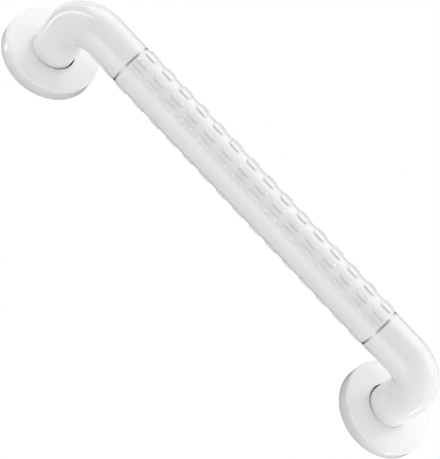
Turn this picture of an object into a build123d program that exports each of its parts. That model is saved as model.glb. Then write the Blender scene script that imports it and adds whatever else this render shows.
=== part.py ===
from build123d import *
import math
import os

# Grab bar for a bath or shower wall, in millimetres.
# A padded grip runs between two elbows. Each elbow stands on a wall plate,
# and a round cover hides the plate and its screws.
#
# Frame of the finished part: the wall is the plane Y = 0, the room is towards -Y,
# the bar runs along X and Z is up. The origin is on the wall, midway between the flanges.
# The pieces are drawn in the wall's own axes, x along the bar, y up and z out of the wall,
# and turned into the part's frame when they are written.

# Layout of the bar
FLANGE_SPACING = 380.0  # between the axes of the two legs
BAR_STANDOFF = 66.0  # from the wall to the axis of the bar
BAR_OD = 35.0  # elbows, and the grip between its pads
BEND_RADIUS = 25.5  # centreline of each elbow
ELBOW_STRAIGHT = 28.1  # straight run of an elbow along the bar, past its bend
EDGE_CHAMFER = 0.25  # outer edges where elbow, ring and grip meet

# Raised pads of the grip: a fan of rows towards the room and one towards the wall,
# with a plain strip between them above and below
PAD_ROWS = 4  # in each fan
PAD_ROW_ANGLE = 30.0  # degrees between rows
PAD_PITCH = 18.25  # along the bar
PAD_LENGTH = 12.8
PAD_WIDTH = 4.1
PAD_CORNER = 1.2  # cut off each corner, along both sides
PAD_HEIGHT = 1.1
PAD_RAMP = 2.2  # length of the slope at each end of a pad
PAD_END_MARGIN = 0.5  # plain grip past the outermost pads, at least
PAD_TURN = 1.2  # degrees that the fans are turned down from straight out of the wall

# Spacer rings between the grip and the elbows
RING_WIDTH = 1.7
RING_RECESS = 0.1  # below the surface of the bar

# Steel tube that carries the grip
CORE_OD = 25.0
CORE_WALL = 2.0
SOCKET_DEPTH = 34.0  # of the tube's socket in an elbow
TUBE_END_GAP = 0.3  # from the tube's end to the floor of its socket
TUBE_FIT = 0.15  # around the tube, in the grip, rings and sockets

# Screw that locks an elbow to the tube, on the side of the wall
JOINT_SCREW_D = 4.2
JOINT_HEAD_D = 8.0
JOINT_HEAD_SINK = 0.6  # below the surface of the elbow
JOINT_SCREW_LENGTH = 13.0
JOINT_SOCKET_AF = 2.5
JOINT_SOCKET_DEPTH = 1.6

# Cover that slides along the leg
COVER_OD = 77.0
COVER_DEPTH = 12.5
COVER_WALL = 2.2
COVER_EDGE = 1.8  # rounding of the front edge
COVER_BORE_GAP = 0.35  # above and below the leg
COVER_OUTER_GAP = 0.15  # on the leg's side away from the bar
COVER_INNER_GAP = 1.25  # on the leg's side towards the bar, where the bend begins
COVER_WALL_GAP = 0.4  # from the wall to the rim
COLLAR_LENGTH = 6.0  # guides the cover along the leg
COLLAR_WALL = 1.8
RIB_COUNT = 6
RIB_HEIGHT = 1.2
RIB_WIDTH = 2.4
RIB_GAP = 0.1  # from the ribs to the plate's edge

# Wall plate
PLATE_THICKNESS = 4.0
PLATE_CHAMFER = 0.5
SCREW_HOLE_D = 6.5
SCREW_COUNT = 3

# Bolt from the back of the plate into the leg
BOLT_D = 8.0
BOLT_LENGTH = 20.0
BOLT_HEAD_D = 15.0
BOLT_HEAD_SINK = 0.4  # below the back of the plate
BOLT_SOCKET_AF = 5.0
BOLT_SOCKET_DEPTH = 2.8
BOLT_FIT = 0.1  # around the bolt and under its head

# Threaded steel insert moulded into the leg
INSERT_AF = 16.0
INSERT_LENGTH = 24.0
INSERT_FLANGE_D = 22.0
INSERT_FLANGE = 4.0
INSERT_BORE_PAST_BOLT = 2.0
MOULD_GAP = 0.03  # between the insert and the moulding around it

# Pins that stop the plate turning on the leg
PIN_D = 4.0
PIN_LENGTH = 10.0
PIN_SINK = 0.5  # below the back of the plate
PIN_FIT = 0.05

# Sizes that follow from those above
BAR_R = BAR_OD / 2
PAD_R = BAR_R + PAD_HEIGHT
LEG_X = FLANGE_SPACING / 2
BEND_START = LEG_X - BEND_RADIUS
MOUTH_X = BEND_START - ELBOW_STRAIGHT
GRIP_LENGTH = 2 * (MOUTH_X - RING_WIDTH)
SOCKET_R = CORE_OD / 2 + TUBE_FIT
SOCKET_END = MOUTH_X + SOCKET_DEPTH
JOINT_X = MOUTH_X + ELBOW_STRAIGHT / 2
COVER_INNER_R = COVER_OD / 2 - COVER_WALL
COVER_FRONT = COVER_WALL_GAP + COVER_DEPTH
PLATE_R = COVER_INNER_R - RIB_HEIGHT - RIB_GAP
SCREW_CIRCLE_R = (BAR_R + PLATE_R) / 2
INSERT_CORNER_R = INSERT_AF / math.sqrt(3)
PIN_CIRCLE_R = (BAR_R + INSERT_CORNER_R) / 2

# The wall's axes in the part's frame
WALL = Plane(origin=(0, 0, 0), x_dir=(1, 0, 0), z_dir=(0, -1, 0))
FROM_BASE = (Align.CENTER, Align.CENTER, Align.MIN)


def rod(radius, start, length):
    """A round rod on the z axis."""
    return Pos(Z=start) * Cylinder(radius, length, align=FROM_BASE)


def bar_rod(radius, start, end):
    """A round rod on the axis of the bar, from one x to another."""
    return Plane(origin=(start, 0, BAR_STANDOFF), z_dir=(1, 0, 0)) * rod(radius, 0, end - start)


def hex_rod(across_flats, start, length):
    """A hexagonal rod on the z axis, sized across its flats."""
    section = RegularPolygon(across_flats / 2, 6, major_radius=False)
    return Pos(Z=start) * extrude(section, length)


def countersunk(head_r, shank_r, top, length):
    """A countersunk screw blank on the z axis, with its head's flat face at top."""
    cone = head_r - shank_r
    head = Pos(Z=top) * Cone(head_r, shank_r, cone, align=FROM_BASE)
    return head + rod(shank_r, top, length)


def pad():
    """One raised pad at the middle of the bar, on the side of the room."""
    sheet = Rectangle(PAD_LENGTH, PAD_WIDTH)
    outline = chamfer(sheet.vertices(), min(PAD_CORNER, 0.49 * PAD_WIDTH))
    root = (SOCKET_R + BAR_R) / 2
    block = Pos(Z=root) * extrude(outline, PAD_R - root)
    foot = PAD_LENGTH / 2
    top = foot - PAD_RAMP
    half = [(foot, root), (foot, BAR_R), (top, PAD_R)]
    profile = Polyline(*half, *[(-x, z) for x, z in reversed(half)], close=True)
    ramps = extrude(Plane.XZ * make_face(profile), PAD_WIDTH, both=True)
    return block & ramps & Rot(Y=90) * Cylinder(PAD_R, 2 * PAD_LENGTH)


def grip_sleeve():
    """Moulded grip with its two fans of raised pads."""
    tube = bar_rod(BAR_R, -GRIP_LENGTH / 2, GRIP_LENGTH / 2)
    ends = tube.edges().filter_by(GeomType.CIRCLE)
    tube = chamfer(ends, EDGE_CHAMFER)
    tube -= bar_rod(SOCKET_R, -GRIP_LENGTH / 2, GRIP_LENGTH / 2)
    room = GRIP_LENGTH - 2 * PAD_END_MARGIN - PAD_LENGTH
    steps = int(room / PAD_PITCH)
    first = pad()
    fan = [(row - (PAD_ROWS - 1) / 2) * PAD_ROW_ANGLE for row in range(PAD_ROWS)]
    pads = []
    for angle in fan + [180 + angle for angle in fan]:
        turn = Rot(X=PAD_TURN + angle)
        for step in range(steps + 1):
            along = (step - steps / 2) * PAD_PITCH
            pads.append(Pos(along, 0, BAR_STANDOFF) * turn * first)
    return tube.fuse(*pads)


def core_tube():
    """Steel tube that runs from socket to socket, drilled for the joint screws."""
    half = SOCKET_END - TUBE_END_GAP
    tube = bar_rod(CORE_OD / 2, -half, half)
    tube -= bar_rod(CORE_OD / 2 - CORE_WALL, -half, half)
    for x in (-JOINT_X, JOINT_X):
        tube -= Pos(X=x) * rod(JOINT_SCREW_D / 2 + TUBE_FIT, BAR_STANDOFF - BAR_R, BAR_R)
    return tube


def ring():
    """Metal ring between the grip and the elbow at +x."""
    inner = GRIP_LENGTH / 2
    body = bar_rod(BAR_R - RING_RECESS, inner, inner + RING_WIDTH)
    return body - bar_rod(SOCKET_R, inner, inner + RING_WIDTH)


def joint_screw_top():
    """Height of the joint screw's head above the wall."""
    return BAR_STANDOFF - BAR_R + JOINT_HEAD_SINK


def joint_screw():
    """Countersunk screw through the elbow's wall into the tube, driven from the wall side."""
    top = joint_screw_top()
    screw = countersunk(JOINT_HEAD_D / 2, JOINT_SCREW_D / 2, top, JOINT_SCREW_LENGTH)
    screw -= hex_rod(JOINT_SOCKET_AF, top, JOINT_SOCKET_DEPTH)
    return Pos(X=JOINT_X) * screw


def elbow_blank():
    """Solid elbow: leg off the plate, quarter bend, and straight run along the bar."""
    bend_z = BAR_STANDOFF - BEND_RADIUS
    leg = Pos(X=LEG_X) * rod(BAR_R, PLATE_THICKNESS, bend_z - PLATE_THICKNESS)
    section = Pos(LEG_X, 0, bend_z) * Circle(BAR_R)
    bend = revolve(section, Axis((BEND_START, 0, bend_z), (0, -1, 0)), 90)
    run = bar_rod(BAR_R, MOUTH_X, BEND_START)
    mouth = run.edges().filter_by(GeomType.CIRCLE).sort_by(Axis.X)[0]
    return leg + bend + chamfer(mouth, EDGE_CHAMFER)


def elbow():
    """Moulded elbow at +x, with its socket, insert pocket, pin holes and screw hole."""
    body = elbow_blank() - bar_rod(SOCKET_R, MOUTH_X, SOCKET_END)
    body -= insert_form(MOULD_GAP)
    for y in (-PIN_CIRCLE_R, PIN_CIRCLE_R):
        body -= pin(y, PIN_FIT)
    surface = BAR_STANDOFF - BAR_R
    body -= Pos(X=JOINT_X) * countersunk(
        JOINT_HEAD_D / 2 + JOINT_HEAD_SINK + TUBE_FIT, JOINT_SCREW_D / 2 + TUBE_FIT, surface, BAR_R
    )
    return body


def insert_form(gap=0.0):
    """Outside of the threaded insert, or with a gap the pocket around it."""
    start = PLATE_THICKNESS
    body = hex_rod(INSERT_AF + 2 * gap, start, INSERT_LENGTH + gap)
    flange_z = start + INSERT_LENGTH - INSERT_FLANGE
    body += rod(INSERT_FLANGE_D / 2 + gap, flange_z - gap, INSERT_FLANGE + 2 * gap)
    return Pos(X=LEG_X) * body


def threaded_insert():
    """Hexagonal steel insert with a flange deep in the leg, bored for the bolt."""
    bolt_end = BOLT_HEAD_SINK + BOLT_LENGTH
    bore = rod(BOLT_D / 2 + BOLT_FIT, 0, bolt_end + INSERT_BORE_PAST_BOLT)
    return insert_form() - Pos(X=LEG_X) * bore


def pin(y, gap=0.0):
    """Locating pin above or below the bolt, or with a gap the hole for it."""
    return Pos(LEG_X, y, 0) * rod(PIN_D / 2 + gap, PIN_SINK - gap, PIN_LENGTH + 2 * gap)


def plate_bolt():
    """Countersunk bolt from the back of the wall plate into the insert."""
    bolt = countersunk(BOLT_HEAD_D / 2, BOLT_D / 2, BOLT_HEAD_SINK, BOLT_LENGTH)
    bolt -= hex_rod(BOLT_SOCKET_AF, BOLT_HEAD_SINK, BOLT_SOCKET_DEPTH)
    return Pos(X=LEG_X) * bolt


def wall_plate():
    """Round steel plate with wall screw holes, a countersunk bolt hole and pin holes."""
    disc = rod(PLATE_R, 0, PLATE_THICKNESS)
    front = disc.edges().filter_by(GeomType.CIRCLE).sort_by(Axis.Z)[-1]
    disc = chamfer(front, PLATE_CHAMFER)
    sink_r = BOLT_HEAD_D / 2 + BOLT_HEAD_SINK + BOLT_FIT
    disc -= countersunk(sink_r, BOLT_D / 2 + BOLT_FIT, 0, PLATE_THICKNESS)
    for place in PolarLocations(SCREW_CIRCLE_R, SCREW_COUNT, start_angle=90):
        disc -= place * rod(SCREW_HOLE_D / 2, 0, PLATE_THICKNESS)
    for y in (-PIN_CIRCLE_R, PIN_CIRCLE_R):
        disc -= Pos(Y=y) * rod(PIN_D / 2 + PIN_FIT, 0, PLATE_THICKNESS)
    return Pos(X=LEG_X) * disc


def leg_slot(grow, start, length):
    """A rod as wide as the cover's opening for the leg, grown on all sides. It is longer towards the bar."""
    outer = COVER_BORE_GAP - COVER_OUTER_GAP
    inner = COVER_INNER_GAP - COVER_BORE_GAP
    section = SlotCenterToCenter(inner - outer, 2 * (BAR_R + COVER_BORE_GAP + grow))
    return Pos(-(inner + outer) / 2, 0, start) * extrude(section, length)


def cover():
    """Thin round cover with a guide collar around the leg and ribs that grip the plate's edge."""
    inside = COVER_FRONT - COVER_WALL
    shell = rod(COVER_OD / 2, COVER_WALL_GAP, COVER_DEPTH)
    rim = shell.edges().filter_by(GeomType.CIRCLE).sort_by(Axis.Z)[-1]
    shell = fillet(rim, COVER_EDGE)
    shell -= rod(COVER_INNER_R, COVER_WALL_GAP, inside - COVER_WALL_GAP)
    shell += leg_slot(COLLAR_WALL, COVER_FRONT - COLLAR_LENGTH, COLLAR_LENGTH)
    ribs = rib_ring(inside)
    shell = shell.fuse(*ribs)
    shell -= leg_slot(0, COVER_WALL_GAP, COVER_DEPTH)
    return Pos(X=LEG_X) * shell


def rib_ring(top):
    """Ribs around the inside of the cover's rim, up to the given height."""
    depth = RIB_HEIGHT + COVER_WALL / 2
    blank = Box(depth, RIB_WIDTH, top - COVER_WALL_GAP, align=(Align.MIN, Align.CENTER, Align.MIN))
    start_r = COVER_INNER_R - RIB_HEIGHT
    ribs = []
    for place in PolarLocations(start_r, RIB_COUNT):
        ribs.append(place * Pos(Z=COVER_WALL_GAP) * blank)
    return ribs


def write(node, shape):
    """Turn a piece into the part's frame and write it."""
    export_step(WALL * shape, f"parts/{node}.step")


def write_pair(node, shape):
    """Write a piece of the right-hand end at +x, and its mirror image at the other end."""
    write(f"{node}_right", shape)
    write(f"{node}_left", mirror(shape, about=Plane.YZ))


os.makedirs("parts", exist_ok=True)
write("grip_sleeve", grip_sleeve())
write("core_tube", core_tube())
write_pair("ring", ring())
write_pair("elbow", elbow())
write_pair("joint_screw", joint_screw())
write_pair("threaded_insert", threaded_insert())
write_pair("wall_plate", wall_plate())
write_pair("plate_bolt", plate_bolt())
write_pair("upper_pin", pin(PIN_CIRCLE_R))
write_pair("lower_pin", pin(-PIN_CIRCLE_R))
write_pair("cover", cover())
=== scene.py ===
"""Looks of a wall-mounted grab bar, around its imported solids."""

import math

import bpy
import numpy as np
from bpy.props import FloatProperty, FloatVectorProperty, IntProperty, PointerProperty
from mathutils import Matrix, Vector


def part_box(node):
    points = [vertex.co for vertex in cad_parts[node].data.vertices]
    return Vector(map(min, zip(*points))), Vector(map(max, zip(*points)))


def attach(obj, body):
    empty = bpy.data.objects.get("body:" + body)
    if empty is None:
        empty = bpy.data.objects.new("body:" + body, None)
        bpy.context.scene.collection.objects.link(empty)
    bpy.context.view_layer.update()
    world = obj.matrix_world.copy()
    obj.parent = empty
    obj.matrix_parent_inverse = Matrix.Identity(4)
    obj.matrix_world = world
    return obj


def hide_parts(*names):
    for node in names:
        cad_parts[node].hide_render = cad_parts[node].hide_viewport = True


bl_info = {
    "name": "Grab Bar",
    "version": (1, 0, 0),
    "blender": (4, 5, 0),
    "location": "View3D > Sidebar > Grab Bar",
    "description": "Builds the padded grip, covers and finishes of a wall-mounted grab bar",
    "category": "Add Mesh",
}

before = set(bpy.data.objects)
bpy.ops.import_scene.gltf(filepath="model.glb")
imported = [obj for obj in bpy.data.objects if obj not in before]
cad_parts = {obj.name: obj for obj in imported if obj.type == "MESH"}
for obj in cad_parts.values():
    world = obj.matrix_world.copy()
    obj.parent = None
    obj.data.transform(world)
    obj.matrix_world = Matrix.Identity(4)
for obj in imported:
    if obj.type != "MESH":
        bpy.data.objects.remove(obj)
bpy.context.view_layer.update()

# Sizes read from the solids, in metres. The wall is the plane Y = 0 and the room is towards -Y.
GRIP_LOW, GRIP_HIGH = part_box("grip_sleeve")
ELBOW_LOW, ELBOW_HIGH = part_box("elbow_right")
COVER_LOW, COVER_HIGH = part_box("cover_right")
TUBE_LOW, TUBE_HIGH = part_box("core_tube")
BAR_RADIUS = (ELBOW_HIGH.z - ELBOW_LOW.z) / 2
BAR_AXIS_Y = (GRIP_LOW.y + GRIP_HIGH.y) / 2
GRIP_LENGTH = GRIP_HIGH.x - GRIP_LOW.x
TUBE_RADIUS = (TUBE_HIGH.y - TUBE_LOW.y) / 2
COVER_RADIUS = (COVER_HIGH.z - COVER_LOW.z) / 2
COVER_X = (COVER_LOW.x + COVER_HIGH.x) / 2
ENDS = {"left": -1.0, "right": 1.0}
MM = 0.001

# Number of points along each stretch of the surfaces
GRIP_END_POINTS = 5
GRIP_BORE_POINTS = 9
PAD_RAMP_POINTS = 13
PLAIN_STRIP_POINTS = 20
SMALL_EDGE_POINTS = 7
FRONT_EDGE_POINTS = 13
COVER_POINTS = 288
OVAL_POINTS = 64
FLOOR_POINTS = 9

# Shares of a way at which the grip has points: over half a pad's top, beside a pad and past its end
PAD_TOP_SHARES = np.array([0.0, 0.4, 0.7, 0.88, 1.0])
SIDE_GAP_SHARES = np.array([0.0, 0.1, 0.45, 1.0])
END_GAP_SHARES = np.array([0.15, 0.5, 1.0])

# Finishes: the range of the noise that is used and the depth of its relief
NOISE_LOW = 0.3
NOISE_HIGH = 0.7
RELIEF_DEPTH = 0.05 * MM
WHITE = (1.0, 1.0, 1.0, 1.0)

# How much finer the grain of each metal is along X, Y and Z
RING_GRAIN = (40.0, 1.0, 1.0)
TUBE_GRAIN = (1.0, 12.0, 12.0)
PLATE_GRAIN = (1.0, 8.0, 8.0)
FASTENER_GRAIN = (4.0, 1.0, 4.0)

# Places of the lamps around the bar, in degrees and metres. Reflections show all but the fill lamps,
# and only reflections show the panels.
LAMPS = {
    "key": {"elevation": 52.0, "sideways": 0.0, "distance": 1.5, "size": (4.4, 1.3)},
    "front": {"elevation": 0.0, "sideways": 0.0, "distance": 1.5, "size": (3.0, 0.6)},
    "back": {"elevation": 112.0, "sideways": 0.0, "distance": 1.5, "size": (3.0, 0.6)},
    "bounce": {"elevation": -108.0, "sideways": 0.0, "distance": 0.9, "size": (3.0, 0.8)},
    "left": {"elevation": -90.0, "sideways": -84.0, "distance": 1.2, "size": (1.0, 1.0)},
    "right": {"elevation": -90.0, "sideways": 84.0, "distance": 1.2, "size": (1.0, 1.0)},
    "low_panel": {"elevation": -81.0, "sideways": 0.0, "distance": 0.8, "size": (0.8, 0.43)},
    "wide_panel": {"elevation": -94.0, "sideways": 0.0, "distance": 0.8, "size": (0.8, 0.85)},
    "left_strip": {"elevation": -90.0, "sideways": -86.0, "distance": 1.0, "size": (2.2, 0.12)},
    "right_strip": {"elevation": -174.0, "sideways": 50.0, "distance": 1.2, "size": (0.7, 0.12)},
}
FILL_LAMPS = ("front", "back", "bounce", "left", "right")
PANELS = ("low_panel", "wide_panel", "left_strip", "right_strip")

# Cards, floor and camera of the stage, in metres except for the sensor, which is in millimetres
OUTLINE_CARD_DISTANCE = 1.0
FRONT_CARD_ELEVATION = math.radians(-20.0)
FRONT_CARD_DISTANCE = 1.6
SIDE_CARD_CENTRE = Vector((-1.1, BAR_AXIS_Y, 0.24))
PINHOLE_RADIUS = 1.0 * MM
CARD_ROUGHNESS = 0.9
FLOOR_REACH = 6.0
FLOOR_ROUGHNESS = 0.8
SENSOR_WIDTH = 36.0
NEAREST_SEEN = 0.01
FARTHEST_SEEN = 100.0


def length_property(name, description, default):
    """A length in metres that a user can change."""
    return FloatProperty(
        name=name, description=description, default=default, min=0.0, precision=5,
        subtype="DISTANCE", unit="LENGTH",
    )


def colour_property(name, description, default):
    """A colour that a user can change."""
    return FloatVectorProperty(
        name=name, description=description, default=default, size=3, min=0.0, max=1.0, subtype="COLOR",
    )


def angle_property(name, description, degrees):
    """An angle that a user can change."""
    return FloatProperty(
        name=name, description=description, default=math.radians(degrees), subtype="ANGLE", unit="ROTATION",
    )


def share_property(name, description, default):
    """A plain number from nought to one."""
    return FloatProperty(name=name, description=description, default=default, min=0.0, max=1.0)


def power_property(name, description, default):
    """The power of a lamp in watts."""
    return FloatProperty(name=name, description=description, default=default, min=0.0, unit="POWER")


class GripSizes(bpy.types.PropertyGroup):
    """Raised pads of the grip, in one fan of rows towards the room and one towards the wall."""

    fan_rows: IntProperty(name="Rows", description="Rows of pads in each fan", default=4, min=1)
    per_row: IntProperty(name="Pads per row", description="Pads along the grip", default=15, min=1)
    row_angle: angle_property("Row spacing", "Angle between neighbouring rows", 30.0)
    turn: angle_property("Turn", "Angle of the fans down from straight out of the wall", 1.2)
    pitch: length_property("Pitch", "Spacing of the pads along the bar", 18.25 * MM)
    length: length_property("Length", "Length of a pad along the bar", 12.8 * MM)
    width: length_property("Width", "Width of a pad around the bar", 4.1 * MM)
    rise: length_property("Rise", "Height of a pad above the grip", 1.1 * MM)
    ramp: length_property("Ramp", "Length of the slope at a pad's ends", 2.2 * MM)
    flank: length_property("Flank", "Width of the slope along a pad's sides", 0.25 * MM)
    edge: length_property("End rounding", "Rounding of the grip's ends", 0.25 * MM)
    bore_gap: length_property("Bore gap", "Room around the steel tube", 0.15 * MM)
    # Painted shade: these three draw a darker line into the grip's colour along the feet of the pads,
    # standing in for the shade in the creases between rows.
    painted_shade_reach: length_property("Foot reach", "Width of the darker line at the foot of the pads", 1.0 * MM)
    painted_shade_shift: length_property("Foot shift", "From a pad's edge to the middle of that line", 0.35 * MM)
    painted_shade_depth: share_property("Foot shade", "Depth of that line", 0.17)


class CoverSizes(bpy.types.PropertyGroup):
    """Round covers at the wall."""

    wall: length_property("Wall", "Thickness of the cover", 2.2 * MM)
    front_edge: length_property("Front edge", "Rounding of the front edge", 1.8 * MM)
    small_edge: length_property("Small edges", "Rounding of the collar and the back rim", 0.4 * MM)
    bore_edge: length_property("Bore edge", "Rounding of the bore at the front", 0.06 * MM)
    bore_gap: length_property("Bore gap", "Room above and below the leg", 0.2 * MM)
    outer_gap: length_property("Outer gap", "Room on the leg's side away from the bar", 0.03 * MM)
    inner_gap: length_property("Inner gap", "Room on the leg's side towards the bar", 1.25 * MM)
    collar: length_property("Collar", "Length of the guide collar behind the front", 6.0 * MM)
    collar_wall: length_property("Collar wall", "Thickness of the guide collar", 1.8 * MM)
    ribs: IntProperty(name="Ribs", description="Ribs that grip the plate", default=6, min=0)
    rib_height: length_property("Rib height", "Height of a rib off the rim", 1.2 * MM)
    rib_width: length_property("Rib width", "Width of a rib around the rim", 2.4 * MM)


class Finishes(bpy.types.PropertyGroup):
    """Colours and roughness of the surfaces."""

    nylon: colour_property("Nylon", "White of the grip and elbows", (0.86, 0.86, 0.86))
    cover: colour_property("Cover", "White of the covers", (0.9, 0.9, 0.9))
    ring: colour_property("Ring", "Metal of the spacer rings", (0.42, 0.42, 0.425))
    steel: colour_property("Steel", "Metal of the plates and the tube", (0.56, 0.56, 0.55))
    fastener: colour_property("Fasteners", "Metal of bolts, pins and screws", (0.5, 0.5, 0.49))
    grip_roughness: share_property("Grip roughness", "Roughness of the grip", 0.14)
    elbow_roughness: share_property("Elbow roughness", "Roughness of the elbows", 0.11)
    cover_roughness: share_property("Cover roughness", "Roughness of the covers", 0.16)
    ring_roughness: share_property("Ring roughness", "Roughness of the spacer rings", 0.3)
    tube_roughness: share_property("Tube roughness", "Roughness of the tube", 0.3)
    plate_roughness: share_property("Plate roughness", "Roughness of the plates", 0.32)
    fastener_roughness: share_property("Fastener roughness", "Roughness of bolts, pins and screws", 0.25)


class StageSettings(bpy.types.PropertyGroup):
    """Camera, floor, lamps and the rings behind the covers."""

    aim: FloatVectorProperty(
        name="Aim", description="Point that the camera looks at", default=(0.0004, -0.0178, -0.0067),
        size=3, subtype="TRANSLATION", unit="LENGTH",
    )
    distance: length_property("Distance", "From the camera to its aim", 1.3)
    elevation: angle_property("Elevation", "Height of the camera above its aim, as an angle", -40.05)
    roll: angle_property("Roll", "Turn of the camera about its own axis", 46.74)
    lens: FloatProperty(name="Lens", description="Focal length for a 36 mm long side", default=132.4)
    floor_drop: length_property("Floor drop", "From the origin down to the floor", 0.95)
    floor_colour: colour_property("Floor colour", "Colour of the floor", (0.9, 0.9, 0.9))
    floor_white: share_property("Floor white", "Share of plain white where the floor is seen", 0.6)
    ambient: FloatProperty(name="Ambient", description="Even light from all sides", default=0.2, min=0.0)
    key: power_property("Key", "Power of the broad lamp above and in front", 28.5)
    front: power_property("Front", "Power of the lamp straight in front", 7.5)
    back: power_property("Back", "Power of the lamp above and behind", 5.0)
    bounce: power_property("Bounce", "Power of the soft light that comes back from the floor", 2.5)
    left: power_property("Left", "Power of the lamp at the left end", 4.4)
    right: power_property("Right", "Power of the lamp at the right end", 6.2)
    low_panel: power_property("Low panel", "Power of the panel below that reflections show", 1.0)
    wide_panel: power_property("Wide panel", "Power of the wider panel below that reflections show", 1.6)
    left_strip: power_property("Left strip", "Power of the strip that the left elbow reflects", 2.6)
    right_strip: power_property("Right strip", "Power of the strip that the right elbow reflects", 0.7)
    ring_radius: length_property("Ring radius", "Radius of the dark ring behind each cover", 47.0 * MM)
    ring_shift: length_property("Ring shift", "From a cover's centre inwards to its ring's", 6.5 * MM)
    ring_drop: length_property("Ring drop", "From a cover's centre down to its ring's", 4.0 * MM)
    ring_depth: length_property("Ring depth", "From the plane of the wall back to the rings", 4.0 * MM)
    ring_gap: length_property("Ring gap", "From a cover's edge out to the hole of its ring", 0.5 * MM)


class GrabBarSettings(bpy.types.PropertyGroup):
    """All settings of the grab bar."""

    grip: PointerProperty(type=GripSizes)
    cover: PointerProperty(type=CoverSizes)
    finish: PointerProperty(type=Finishes)
    stage: PointerProperty(type=StageSettings)


def loop_surface(points):
    """Quads of a closed surface: points[row, column], where both rows and columns run round a ring.

    The corners run so that the faces point outwards where the rows turn right-handed about the columns.
    """
    rows, columns = points.shape[:2]
    row, column = np.meshgrid(np.arange(rows), np.arange(columns), indexing="ij")
    next_row = (row + 1) % rows
    next_column = (column + 1) % columns
    corners = ((row, column), (row, next_column), (next_row, next_column), (next_row, column))
    return np.stack([r * columns + c for r, c in corners], axis=-1).reshape(-1, 4)


def new_piece(name, points, body, node):
    """A smooth mesh of a closed surface, which rides on a body and stands for a node."""
    mesh = bpy.data.meshes.new(name)
    mesh.from_pydata(points.reshape(-1, 3), [], loop_surface(points).tolist())
    mesh.polygons.foreach_set("use_smooth", np.ones(len(mesh.polygons), dtype=bool))
    mesh.validate()
    mesh.update()
    piece = bpy.data.objects.new(name, mesh)
    bpy.context.scene.collection.objects.link(piece)
    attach(piece, body)
    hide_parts(node)
    return piece


def quarter_round(radius, count, start):
    """Points of a quarter circle about the origin, as (across, along), from an angle in quarter turns."""
    angle = (start + np.linspace(0.0, 1.0, count)) * math.pi / 2
    return radius * np.cos(angle), radius * np.sin(angle)


def pad_height(x, arc, sizes):
    """Share of a pad's full height at x along the bar and arc around it, both from a pad's centre.

    It is the product of two slopes kept between nought and one: a steep one across the pad's sides, and
    a soft one, t * t * (3 - 2 * t), which rises from the half circles at the pad's ends.
    """
    half = sizes.width / 2
    side = np.clip(0.5 - (np.abs(arc) - half) / sizes.flank, 0.0, 1.0)
    bulge = np.sqrt(np.maximum(half * half - arc * arc, 0.0))
    end = np.clip((sizes.length / 2 - half + bulge - np.abs(x)) / sizes.ramp, 0.0, 1.0)
    return side * end * end * (3.0 - 2.0 * end)


def pad_stations(sizes):
    """Places along the bar from a pad's middle to halfway to the next, closest together over its ramp."""
    foot = sizes.length / 2
    ramp = np.linspace(foot - sizes.width / 2 - sizes.ramp, foot, PAD_RAMP_POINTS)
    gap = foot + (sizes.pitch / 2 - foot) * END_GAP_SHARES
    return np.concatenate([[0.0], ramp, gap])


def arc_stations(sizes):
    """Places around the bar from a pad's middle to halfway to the next, closest together at its side."""
    top = sizes.width / 2 - sizes.flank / 2
    foot = sizes.width / 2 + sizes.flank / 2
    half_pitch = BAR_RADIUS * sizes.row_angle / 2
    gap = foot + (half_pitch - foot) * SIDE_GAP_SHARES
    return np.concatenate([top * PAD_TOP_SHARES, gap])


def both_sides(half):
    """The same places on both sides of nought, without the last, which the next pad has."""
    return np.concatenate([-half[:0:-1], half[:-1]])


def row_angles(sizes):
    """Angles of the rows of pads, down from straight out of the wall."""
    fan = (np.arange(sizes.fan_rows) - (sizes.fan_rows - 1) / 2) * sizes.row_angle
    return np.concatenate([fan, fan + math.pi]) + sizes.turn


def column_angles(sizes):
    """Angles of the grip's columns: close together across the pads and even across the plain strips."""
    across = both_sides(arc_stations(sizes)) / BAR_RADIUS
    rows = row_angles(sizes).reshape(2, -1)
    fans = (rows[:, :, None] + across[None, None, :]).reshape(2, -1)
    strip_start = rows[0, -1] + sizes.row_angle / 2
    strip_end = rows[1, 0] - sizes.row_angle / 2
    strip = np.linspace(strip_start, strip_end, PLAIN_STRIP_POINTS, endpoint=False)
    return np.concatenate([fans[0], strip, fans[1], strip + math.pi])


def grip_points(sizes):
    """Closed surface of the grip: radius R + rise * pad_height around the bar, then back through its bore.

    Rows run along the outside, over the rounded end, back along the bore and over the other end.
    Columns run around the bar.
    """
    pad_x = both_sides(pad_stations(sizes))
    centres = (np.arange(sizes.per_row) - (sizes.per_row - 1) / 2) * sizes.pitch
    along = (centres[:, None] + pad_x[None, :]).ravel()
    edge = sizes.edge
    half_length = GRIP_LENGTH / 2
    along = along[np.abs(along) < half_length - edge]
    across_end, along_end = quarter_round(edge, GRIP_END_POINTS, 0)
    end_x = half_length - edge + along_end
    end_r = BAR_RADIUS - edge + across_end
    outside_r = np.full(along.size, BAR_RADIUS)
    bore_x = np.linspace(half_length, -half_length, GRIP_BORE_POINTS)
    bore_r = np.full(bore_x.size, TUBE_RADIUS + sizes.bore_gap)
    x = np.concatenate([-end_x[::-1], along, end_x, bore_x])
    base = np.concatenate([end_r[::-1], outside_r, end_r, bore_r])
    raised = np.concatenate([np.zeros(end_x.size), np.ones(along.size), np.zeros(end_x.size + bore_x.size)])

    around = column_angles(sizes)
    from_rows = around[:, None] - row_angles(sizes)[None, :]
    from_rows = np.abs((from_rows + math.pi) % (2 * math.pi) - math.pi)
    arc = from_rows.min(axis=1) * BAR_RADIUS
    nearest = np.clip(np.round(x / sizes.pitch + (sizes.per_row - 1) / 2), 0, sizes.per_row - 1)
    from_pad = x - (nearest - (sizes.per_row - 1) / 2) * sizes.pitch
    rise = pad_height(from_pad[:, None], arc[None, :], sizes) * raised[:, None] * sizes.rise
    radius = base[:, None] + rise
    points = np.empty(radius.shape + (3,))
    points[..., 0] = x[:, None]
    points[..., 1] = BAR_AXIS_Y - radius * np.cos(around)
    points[..., 2] = -radius * np.sin(around)
    return points


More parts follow.
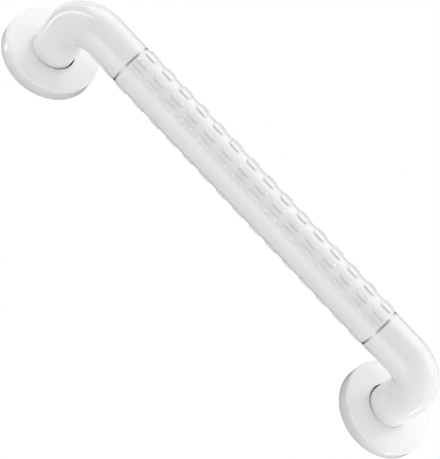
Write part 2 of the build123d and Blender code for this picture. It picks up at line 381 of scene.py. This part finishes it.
def cover_points(sizes, side):
    """Closed surface of a cover: a profile of radius and depth turned about the leg.

    Ribs lower the inner radius where the angle is within half a rib's width of a rib. The bore and its
    collar are drawn apart into a slot: the half towards the bar moves further than the other half.
    """
    small = sizes.small_edge
    back = -COVER_HIGH.y
    front = -COVER_LOW.y
    bore = BAR_RADIUS + sizes.bore_gap
    inner = COVER_RADIUS - sizes.wall
    inside = front - sizes.wall
    collar_end = front - sizes.collar
    collar_out = bore + sizes.collar_wall

    def arc(centre_r, centre_depth, radius, start, count=SMALL_EDGE_POINTS):
        across, along = quarter_round(radius, count, start)
        return np.column_stack([centre_r + across, centre_depth + along])

    front_edge = sizes.front_edge
    inner_back_edge = arc(inner + small, back + small, small, 2)
    profile = np.concatenate([
        arc(COVER_RADIUS - small, back + small, small, 3),
        arc(COVER_RADIUS - front_edge, front - front_edge, front_edge, 0, FRONT_EDGE_POINTS),
        arc(bore + sizes.bore_edge, front - sizes.bore_edge, sizes.bore_edge, 1),
        arc(bore + small, collar_end + small, small, 2),
        [[collar_out, collar_end], [collar_out, inside]],
        [[inner, inside]],
        inner_back_edge,
    ])
    wall_end = len(profile) - len(inner_back_edge)
    is_inner_wall = np.zeros(len(profile))
    is_inner_wall[[wall_end - 1, wall_end]] = 1.0
    is_bore = (profile[:, 0] < collar_out + small).astype(float)
    angle = np.arange(COVER_POINTS) * 2 * math.pi / COVER_POINTS
    if sizes.ribs:
        rib_pitch = 2 * math.pi / sizes.ribs
        from_rib = np.abs((angle + rib_pitch / 2) % rib_pitch - rib_pitch / 2) * inner
        rib = (from_rib < sizes.rib_width / 2).astype(float)
    else:
        rib = np.zeros(COVER_POINTS)
    radius = profile[:, :1] - is_inner_wall[:, None] * rib[None, :] * sizes.rib_height
    towards_bar = side * np.cos(angle) < 0.0
    shift = np.where(towards_bar, sizes.inner_gap - sizes.bore_gap, sizes.bore_gap - sizes.outer_gap)
    points = np.empty(radius.shape + (3,))
    points[..., 0] = side * (COVER_X - is_bore[:, None] * shift[None, :]) + radius * np.cos(angle)
    points[..., 1] = -profile[:, 1:]
    points[..., 2] = radius * np.sin(angle)
    return points


def new_material(name):
    """An empty node material with its Principled shader and Object coordinates."""
    material = bpy.data.materials.new(name)
    material.use_nodes = True
    tree = material.node_tree
    shader = tree.nodes["Principled BSDF"]
    place = tree.nodes.new("ShaderNodeTexCoord")
    return material, tree, shader, place


def noise(tree, place, scale, detail, stretch=(1.0, 1.0, 1.0)):
    """A noise texture on Object coordinates, stretched along the axes."""
    mapping = tree.nodes.new("ShaderNodeMapping")
    mapping.inputs["Scale"].default_value = stretch
    tree.links.new(place.outputs["Object"], mapping.inputs["Vector"])
    texture = tree.nodes.new("ShaderNodeTexNoise")
    texture.inputs["Scale"].default_value = scale
    texture.inputs["Detail"].default_value = detail
    tree.links.new(mapping.outputs["Vector"], texture.inputs["Vector"])
    return texture


def spread(tree, texture, low, high):
    """The noise mapped to a range of values."""
    ramp = tree.nodes.new("ShaderNodeMapRange")
    ramp.inputs["From Min"].default_value = NOISE_LOW
    ramp.inputs["From Max"].default_value = NOISE_HIGH
    ramp.inputs["To Min"].default_value = low
    ramp.inputs["To Max"].default_value = high
    tree.links.new(texture.outputs["Fac"], ramp.inputs["Value"])
    return ramp.outputs["Result"]


def tint(tree, texture, colour, depth):
    """The noise mapped to a colour and one that is darker by a share of it."""
    ramp = tree.nodes.new("ShaderNodeValToRGB")
    darker, plain = ramp.color_ramp.elements
    darker.position = NOISE_LOW
    plain.position = NOISE_HIGH
    darker.color = [part * (1.0 - depth) for part in colour] + [1.0]
    plain.color = list(colour) + [1.0]
    tree.links.new(texture.outputs["Fac"], ramp.inputs["Fac"])
    return ramp.outputs["Color"]


def bump(tree, shader, texture, strength):
    """Fine relief from the noise."""
    relief = tree.nodes.new("ShaderNodeBump")
    relief.inputs["Strength"].default_value = strength
    relief.inputs["Distance"].default_value = RELIEF_DEPTH
    tree.links.new(texture.outputs["Fac"], relief.inputs["Height"])
    tree.links.new(relief.outputs["Normal"], shader.inputs["Normal"])


def white_plastic(name, colour, roughness):
    """Moulded white plastic: faint mottling, slightly uneven gloss and a fine moulded skin."""
    material, tree, shader, place = new_material(name)
    mottle = noise(tree, place, scale=60.0, detail=3.0)
    skin = noise(tree, place, scale=900.0, detail=2.0)
    smoothest = roughness - 0.03
    roughest = roughness + 0.03
    tree.links.new(tint(tree, mottle, colour, depth=0.015), shader.inputs["Base Color"])
    tree.links.new(spread(tree, mottle, smoothest, roughest), shader.inputs["Roughness"])
    shader.inputs["IOR"].default_value = 1.5
    bump(tree, shader, skin, strength=0.08)
    return material


def brushed_metal(name, colour, roughness, stretch):
    """Brushed metal: fine scratches drawn out along one axis."""
    material, tree, shader, place = new_material(name)
    grain = noise(tree, place, scale=400.0, detail=4.0, stretch=stretch)
    smoothest = roughness - 0.06
    roughest = roughness + 0.08
    tree.links.new(tint(tree, grain, colour, depth=0.18), shader.inputs["Base Color"])
    tree.links.new(spread(tree, grain, smoothest, roughest), shader.inputs["Roughness"])
    shader.inputs["Metallic"].default_value = 1.0
    bump(tree, shader, grain, strength=0.1)
    return material


def calc(tree, operation, first, second=0.0):
    """One step of shader arithmetic on numbers or sockets."""
    step = tree.nodes.new("ShaderNodeMath")
    step.operation = operation
    for place, value in zip(step.inputs, (first, second)):
        if isinstance(value, bpy.types.NodeSocket):
            tree.links.new(value, place)
        else:
            place.default_value = value
    return step.outputs["Value"]


def fade(tree, value, none, full):
    """A soft step of shader arithmetic, from nought where the value is none to one where it is full."""
    step = tree.nodes.new("ShaderNodeMapRange")
    step.interpolation_type = "SMOOTHSTEP"
    step.inputs["From Min"].default_value = none
    step.inputs["From Max"].default_value = full
    tree.links.new(value, step.inputs["Value"])
    return step.outputs["Result"]


def painted_shade_mask(tree, place, sizes):
    """Mask of painted shade, one along the foot of the pads and nought away from it, from Object
    coordinates: the creases between rows of pads are darkened in the colour.

    Both directions are folded onto one pad: arc is the way around the bar and along the way along it, both
    from the pad's centre. The line follows the pad's outline, two straight sides and two half circles, and
    fades around its ends. The outer sides of a fan, next to the plain strips, stay clear.
    """
    split = tree.nodes.new("ShaderNodeSeparateXYZ")
    tree.links.new(place.outputs["Object"], split.inputs["Vector"])
    x, y, z = split.outputs
    around = calc(tree, "ARCTAN2", calc(tree, "MULTIPLY", z, -1.0), calc(tree, "SUBTRACT", BAR_AXIS_Y, y))
    in_fan = calc(tree, "PINGPONG", calc(tree, "SUBTRACT", around, sizes.turn), math.pi / 2)
    last_row = (sizes.fan_rows - 1) * sizes.row_angle / 2
    from_first = calc(tree, "ADD", in_fan, last_row)
    arc = calc(tree, "MULTIPLY", calc(tree, "PINGPONG", from_first, sizes.row_angle / 2), BAR_RADIUS)
    from_end = calc(tree, "ADD", x, (sizes.per_row - 1) / 2 * sizes.pitch)
    along = calc(tree, "PINGPONG", from_end, sizes.pitch / 2)
    half = sizes.width / 2
    straight = sizes.length / 2 - half
    past = calc(tree, "MAXIMUM", calc(tree, "SUBTRACT", along, straight), 0.0)
    squares = calc(tree, "ADD", calc(tree, "MULTIPLY", past, past), calc(tree, "MULTIPLY", arc, arc))
    from_line = calc(tree, "SUBTRACT", calc(tree, "SQRT", squares), half + sizes.painted_shade_shift)
    line = fade(tree, calc(tree, "ABSOLUTE", from_line), sizes.painted_shade_reach, 0.0)
    length = fade(tree, along, sizes.length / 2 + 2 * sizes.painted_shade_shift, straight)
    inner = calc(tree, "LESS_THAN", in_fan, last_row)
    return calc(tree, "MULTIPLY", calc(tree, "MULTIPLY", line, length), inner)


def paint_shade_at_feet(material, place, sizes):
    """Paint shade into a plastic's colour: darker softly along the foot of the pads, where the creases
    between rows of pads fall in shade.
    """
    tree = material.node_tree
    base = tree.nodes["Principled BSDF"].inputs["Base Color"]
    shade = calc(tree, "MULTIPLY", painted_shade_mask(tree, place, sizes), sizes.painted_shade_depth)
    scaled = tree.nodes.new("ShaderNodeVectorMath")
    scaled.operation = "SCALE"
    tree.links.new(base.links[0].from_socket, scaled.inputs["Vector"])
    tree.links.new(calc(tree, "SUBTRACT", 1.0, shade), scaled.inputs["Scale"])
    tree.links.new(scaled.outputs["Vector"], base)


def finish_piece(piece, material):
    """Give a piece or a CAD node one material."""
    piece.data.materials.clear()
    piece.data.materials.append(material)


def settings():
    """The scene's grab bar settings."""
    return bpy.context.scene.grab_bar


class GRABBAR_OT_grip(bpy.types.Operator):
    """Build the grip with its raised pads"""

    bl_idname = "grab_bar.grip"
    bl_label = "Padded Grip"

    def execute(self, context):
        choice = settings()
        points = grip_points(choice.grip)
        piece = new_piece("padded_grip", points, "bar", "grip_sleeve")
        material = white_plastic("grip_nylon_finish", choice.finish.nylon, choice.finish.grip_roughness)
        place = material.node_tree.nodes["Texture Coordinate"]
        # Painted shade along the feet of the pads goes into the grip's colour.
        paint_shade_at_feet(material, place, choice.grip)
        finish_piece(piece, material)
        return {"FINISHED"}


class GRABBAR_OT_covers(bpy.types.Operator):
    """Build the two round covers"""

    bl_idname = "grab_bar.covers"
    bl_label = "Covers"

    def execute(self, context):
        choice = settings()
        material = white_plastic("cover_finish", choice.finish.cover, choice.finish.cover_roughness)
        for end, side in ENDS.items():
            points = cover_points(choice.cover, side)
            piece = new_piece(f"round_cover_{end}", points, f"{end}_cover", f"cover_{end}")
            finish_piece(piece, material)
        return {"FINISHED"}


class GRABBAR_OT_elbows(bpy.types.Operator):
    """Finish the elbows and the rings beside them"""

    bl_idname = "grab_bar.elbows"
    bl_label = "Elbows and Rings"

    def execute(self, context):
        finish = settings().finish
        elbow = white_plastic("elbow_nylon_finish", finish.nylon, finish.elbow_roughness)
        ring = brushed_metal("ring_finish", finish.ring, finish.ring_roughness, RING_GRAIN)
        for end in ENDS:
            finish_piece(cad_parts[f"elbow_{end}"], elbow)
            finish_piece(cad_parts[f"ring_{end}"], ring)
        return {"FINISHED"}


class GRABBAR_OT_hardware(bpy.types.Operator):
    """Finish the steel tube, plates and fasteners"""

    bl_idname = "grab_bar.hardware"
    bl_label = "Tube, Plates and Fasteners"

    def execute(self, context):
        finish = settings().finish
        tube = brushed_metal("tube_finish", finish.steel, finish.tube_roughness, TUBE_GRAIN)
        plate = brushed_metal("plate_finish", finish.steel, finish.plate_roughness, PLATE_GRAIN)
        fastener = brushed_metal(
            "fastener_finish", finish.fastener, finish.fastener_roughness, FASTENER_GRAIN,
        )
        finish_piece(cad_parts["core_tube"], tube)
        for end in ENDS:
            finish_piece(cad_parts[f"wall_plate_{end}"], plate)
            for kind in ("plate_bolt", "threaded_insert", "joint_screw", "upper_pin", "lower_pin"):
                finish_piece(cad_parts[f"{kind}_{end}"], fastener)
        return {"FINISHED"}


def seen_ray(tree):
    """One for rays that show the background itself: from the camera, a reflection or through glass."""
    path = tree.nodes.new("ShaderNodeLightPath").outputs
    seen = calc(tree, "MAXIMUM", path["Is Camera Ray"], path["Is Glossy Ray"])
    return calc(tree, "MAXIMUM", seen, path["Is Transmission Ray"])


def white_world(stage):
    """World that is white where it is seen, and elsewhere gives a little even light."""
    world = bpy.data.worlds.new("studio")
    world.use_nodes = True
    tree = world.node_tree
    light = tree.nodes["Background"]
    light.inputs["Color"].default_value = WHITE
    light.inputs["Strength"].default_value = stage.ambient
    white = tree.nodes.new("ShaderNodeBackground")
    white.inputs["Color"].default_value = WHITE
    white.inputs["Strength"].default_value = 1.0
    mix = tree.nodes.new("ShaderNodeMixShader")
    tree.links.new(seen_ray(tree), mix.inputs["Fac"])
    tree.links.new(light.outputs["Background"], mix.inputs[1])
    tree.links.new(white.outputs["Background"], mix.inputs[2])
    tree.links.new(mix.outputs["Shader"], tree.nodes["World Output"].inputs["Surface"])
    bpy.context.scene.world = world


def pale_floor(stage):
    """Plain pale floor, a flat grid at the drop below the origin, which looks whiter where it is seen."""
    reach = np.linspace(-FLOOR_REACH, FLOOR_REACH, FLOOR_POINTS)
    x, y = np.meshgrid(reach, reach, indexing="ij")
    points = np.stack([x, y, np.full_like(x, -stage.floor_drop)], axis=-1)
    number = np.arange(x.size).reshape(x.shape)
    quads = np.stack([number[:-1, :-1], number[1:, :-1], number[1:, 1:], number[:-1, 1:]], axis=-1)
    mesh = bpy.data.meshes.new("floor")
    mesh.from_pydata(points.reshape(-1, 3), [], quads.reshape(-1, 4).tolist())
    mesh.update()
    floor = bpy.data.objects.new("floor", mesh)
    bpy.context.scene.collection.objects.link(floor)
    material, tree, shader, place = new_material("floor_finish")
    speckle = noise(tree, place, scale=3.0, detail=2.0)
    tree.links.new(tint(tree, speckle, stage.floor_colour, depth=0.01), shader.inputs["Base Color"])
    shader.inputs["Roughness"].default_value = FLOOR_ROUGHNESS
    white = tree.nodes.new("ShaderNodeEmission")
    white.inputs["Strength"].default_value = 1.0
    mix = tree.nodes.new("ShaderNodeMixShader")
    tree.links.new(calc(tree, "MULTIPLY", seen_ray(tree), stage.floor_white), mix.inputs["Fac"])
    tree.links.new(shader.outputs["BSDF"], mix.inputs[1])
    tree.links.new(white.outputs["Emission"], mix.inputs[2])
    tree.links.new(mix.outputs["Shader"], tree.nodes["Material Output"].inputs["Surface"])
    mesh.materials.append(material)


def area_lamp(name, elevation, sideways, distance, size, power):
    """A soft rectangular lamp that points at the bar, at two angles in degrees and a distance from it.

    The elevation turns from straight out of the wall upwards, and sideways turns from there to +X.
    """
    rise = math.radians(elevation)
    swing = math.radians(sideways)
    way = Vector((math.sin(swing), -math.cos(swing) * math.cos(rise), math.cos(swing) * math.sin(rise)))
    data = bpy.data.lights.new(name, "AREA")
    data.shape = "RECTANGLE"
    data.size, data.size_y = size
    data.energy = power
    lamp = bpy.data.objects.new(name, data)
    lamp.location = Vector((0.0, BAR_AXIS_Y, 0.0)) + distance * way
    lamp.rotation_euler = (-way).to_track_quat("-Z", "Y").to_euler()
    lamp.visible_camera = False
    bpy.context.scene.collection.objects.link(lamp)
    return lamp


def oval(centre, way, half_width, half_height):
    """Points around a flat oval that faces a way: its half sizes times the cosine and sine of an angle."""
    angle = np.arange(OVAL_POINTS) * 2 * math.pi / OVAL_POINTS
    flat = np.column_stack([half_width * np.cos(angle), half_height * np.sin(angle), np.zeros(OVAL_POINTS)])
    return flat @ np.array(way.to_track_quat("Z", "Y").to_matrix()).T + np.array(centre)


def stage_card(name, outer, inner, grey, glow=0.0):
    """A flat card of the stage between two ovals. The camera and the lamps' light pass through it."""
    first = np.arange(len(outer))
    after = np.roll(first, -1)
    quads = np.column_stack([first, after, after + len(outer), first + len(outer)])
    mesh = bpy.data.meshes.new(name)
    mesh.from_pydata(np.concatenate([outer, inner]), [], quads.tolist())
    mesh.update()
    material = bpy.data.materials.new(name + "_finish")
    material.use_nodes = True
    shader = material.node_tree.nodes["Principled BSDF"]
    shader.inputs["Base Color"].default_value = (grey, grey, grey, 1.0)
    shader.inputs["Roughness"].default_value = CARD_ROUGHNESS
    shader.inputs["Emission Color"].default_value = WHITE
    shader.inputs["Emission Strength"].default_value = glow
    mesh.materials.append(material)
    card = bpy.data.objects.new(name, mesh)
    card.visible_camera = False
    card.visible_shadow = False
    card.visible_transmission = False
    bpy.context.scene.collection.objects.link(card)
    return card


def reflected_card(name, centre, way, half_width, half_height, grey, glow=0.0):
    """An oval card that faces a way and that only reflections show.

    It is whole but for a pinhole, which no reflection shows.
    """
    hole = oval(centre, way, PINHOLE_RADIUS, PINHOLE_RADIUS)
    card = stage_card(name, oval(centre, way, half_width, half_height), hole, grey, glow)
    card.visible_diffuse = False


def out_of_wall(elevation):
    """The direction straight out of the wall, turned upwards by an angle."""
    return Vector((0.0, -math.cos(elevation), math.sin(elevation)))


def studio_cards(stage):
    """Three cards that only reflections show, and a dark ring close behind each cover.

    The dark card behind the bar draws the thin outline. The grey one around the camera darkens the spacer
    rings. The dark one beside the left end stands above the strip that the left elbow reflects. The ring
    behind a cover shades its rim: its hole lets light through to the plate, and it is wider below and
    towards the bar.
    """
    to_camera = out_of_wall(stage.elevation)
    behind = Vector(stage.aim) - OUTLINE_CARD_DISTANCE * to_camera
    reflected_card("outline_card", behind, to_camera, half_width=0.55, half_height=1.0, grey=0.05)
    to_front = out_of_wall(FRONT_CARD_ELEVATION)
    before = FRONT_CARD_DISTANCE * to_front
    reflected_card("front_card", before, -to_front, half_width=1.3, half_height=1.3, grey=0.02, glow=0.82)
    to_right = Vector((1.0, 0.0, 0.0))
    reflected_card("side_card", SIDE_CARD_CENTRE, to_right, half_width=1.3, half_height=0.2, grey=0.03)
    to_room = Vector((0.0, -1.0, 0.0))
    hole_radius = COVER_RADIUS + stage.ring_gap
    for end, side in ENDS.items():
        centre = Vector((side * COVER_X, stage.ring_depth, 0.0))
        shifted = centre + Vector((-side * stage.ring_shift, 0.0, -stage.ring_drop))
        outer = oval(shifted, to_room, stage.ring_radius, stage.ring_radius)
        hole = oval(centre, to_room, hole_radius, hole_radius)
        stage_card(f"cover_card_{end}", outer, hole, grey=0.05)


def aimed_camera(stage):
    """Camera at a distance and elevation from its aim, in the plane across the bar, turned by its roll."""
    back = out_of_wall(stage.elevation)
    aim = Vector(stage.aim)
    turn = (-back).to_track_quat("-Z", "Y").to_matrix().to_4x4()
    camera = bpy.data.objects.new("camera", bpy.data.cameras.new("camera"))
    camera.data.sensor_width = SENSOR_WIDTH
    camera.data.lens = stage.lens
    camera.data.clip_start = NEAREST_SEEN
    camera.data.clip_end = FARTHEST_SEEN
    roll = Matrix.Rotation(stage.roll, 4, "Z")
    camera.matrix_world = Matrix.Translation(aim + back * stage.distance) @ turn @ roll
    bpy.context.scene.collection.objects.link(camera)
    bpy.context.scene.camera = camera


class GRABBAR_OT_stage(bpy.types.Operator):
    """Make the floor, light and camera"""

    bl_idname = "grab_bar.stage"
    bl_label = "Stage"

    def execute(self, context):
        stage = settings().stage
        white_world(stage)
        pale_floor(stage)
        for name, place in LAMPS.items():
            lamp = area_lamp(name, power=getattr(stage, name), **place)
            lamp.visible_glossy = name not in FILL_LAMPS
            lamp.visible_diffuse = name not in PANELS
        studio_cards(stage)
        aimed_camera(stage)
        context.scene.view_settings.view_transform = "Standard"
        return {"FINISHED"}


class GRABBAR_PT_panel(bpy.types.Panel):
    """Grab bar settings in the 3D view's sidebar"""

    bl_label = "Grab Bar"
    bl_idname = "GRABBAR_PT_panel"
    bl_space_type = "VIEW_3D"
    bl_region_type = "UI"
    bl_category = "Grab Bar"

    def draw(self, context):
        for operator in OPERATORS:
            self.layout.operator(operator.bl_idname)
        choice = context.scene.grab_bar
        for group in (choice.grip, choice.cover, choice.finish, choice.stage):
            box = self.layout.box()
            for name in group.__annotations__:
                box.prop(group, name)


OPERATORS = (GRABBAR_OT_grip, GRABBAR_OT_covers, GRABBAR_OT_elbows, GRABBAR_OT_hardware, GRABBAR_OT_stage)
SETTINGS = (GripSizes, CoverSizes, Finishes, StageSettings, GrabBarSettings)
CLASSES = SETTINGS + OPERATORS + (GRABBAR_PT_panel,)


def register():
    """Register the classes and the scene's settings."""
    for item in CLASSES:
        bpy.utils.register_class(item)
    bpy.types.Scene.grab_bar = PointerProperty(type=GrabBarSettings)


def unregister():
    """Undo register."""
    del bpy.types.Scene.grab_bar
    for item in reversed(CLASSES):
        bpy.utils.unregister_class(item)


def main():
    """Register the add-on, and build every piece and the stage."""
    register()
    bpy.ops.grab_bar.grip()
    bpy.ops.grab_bar.covers()
    bpy.ops.grab_bar.elbows()
    bpy.ops.grab_bar.hardware()
    bpy.ops.grab_bar.stage()


if __name__ == "__main__":
    main()
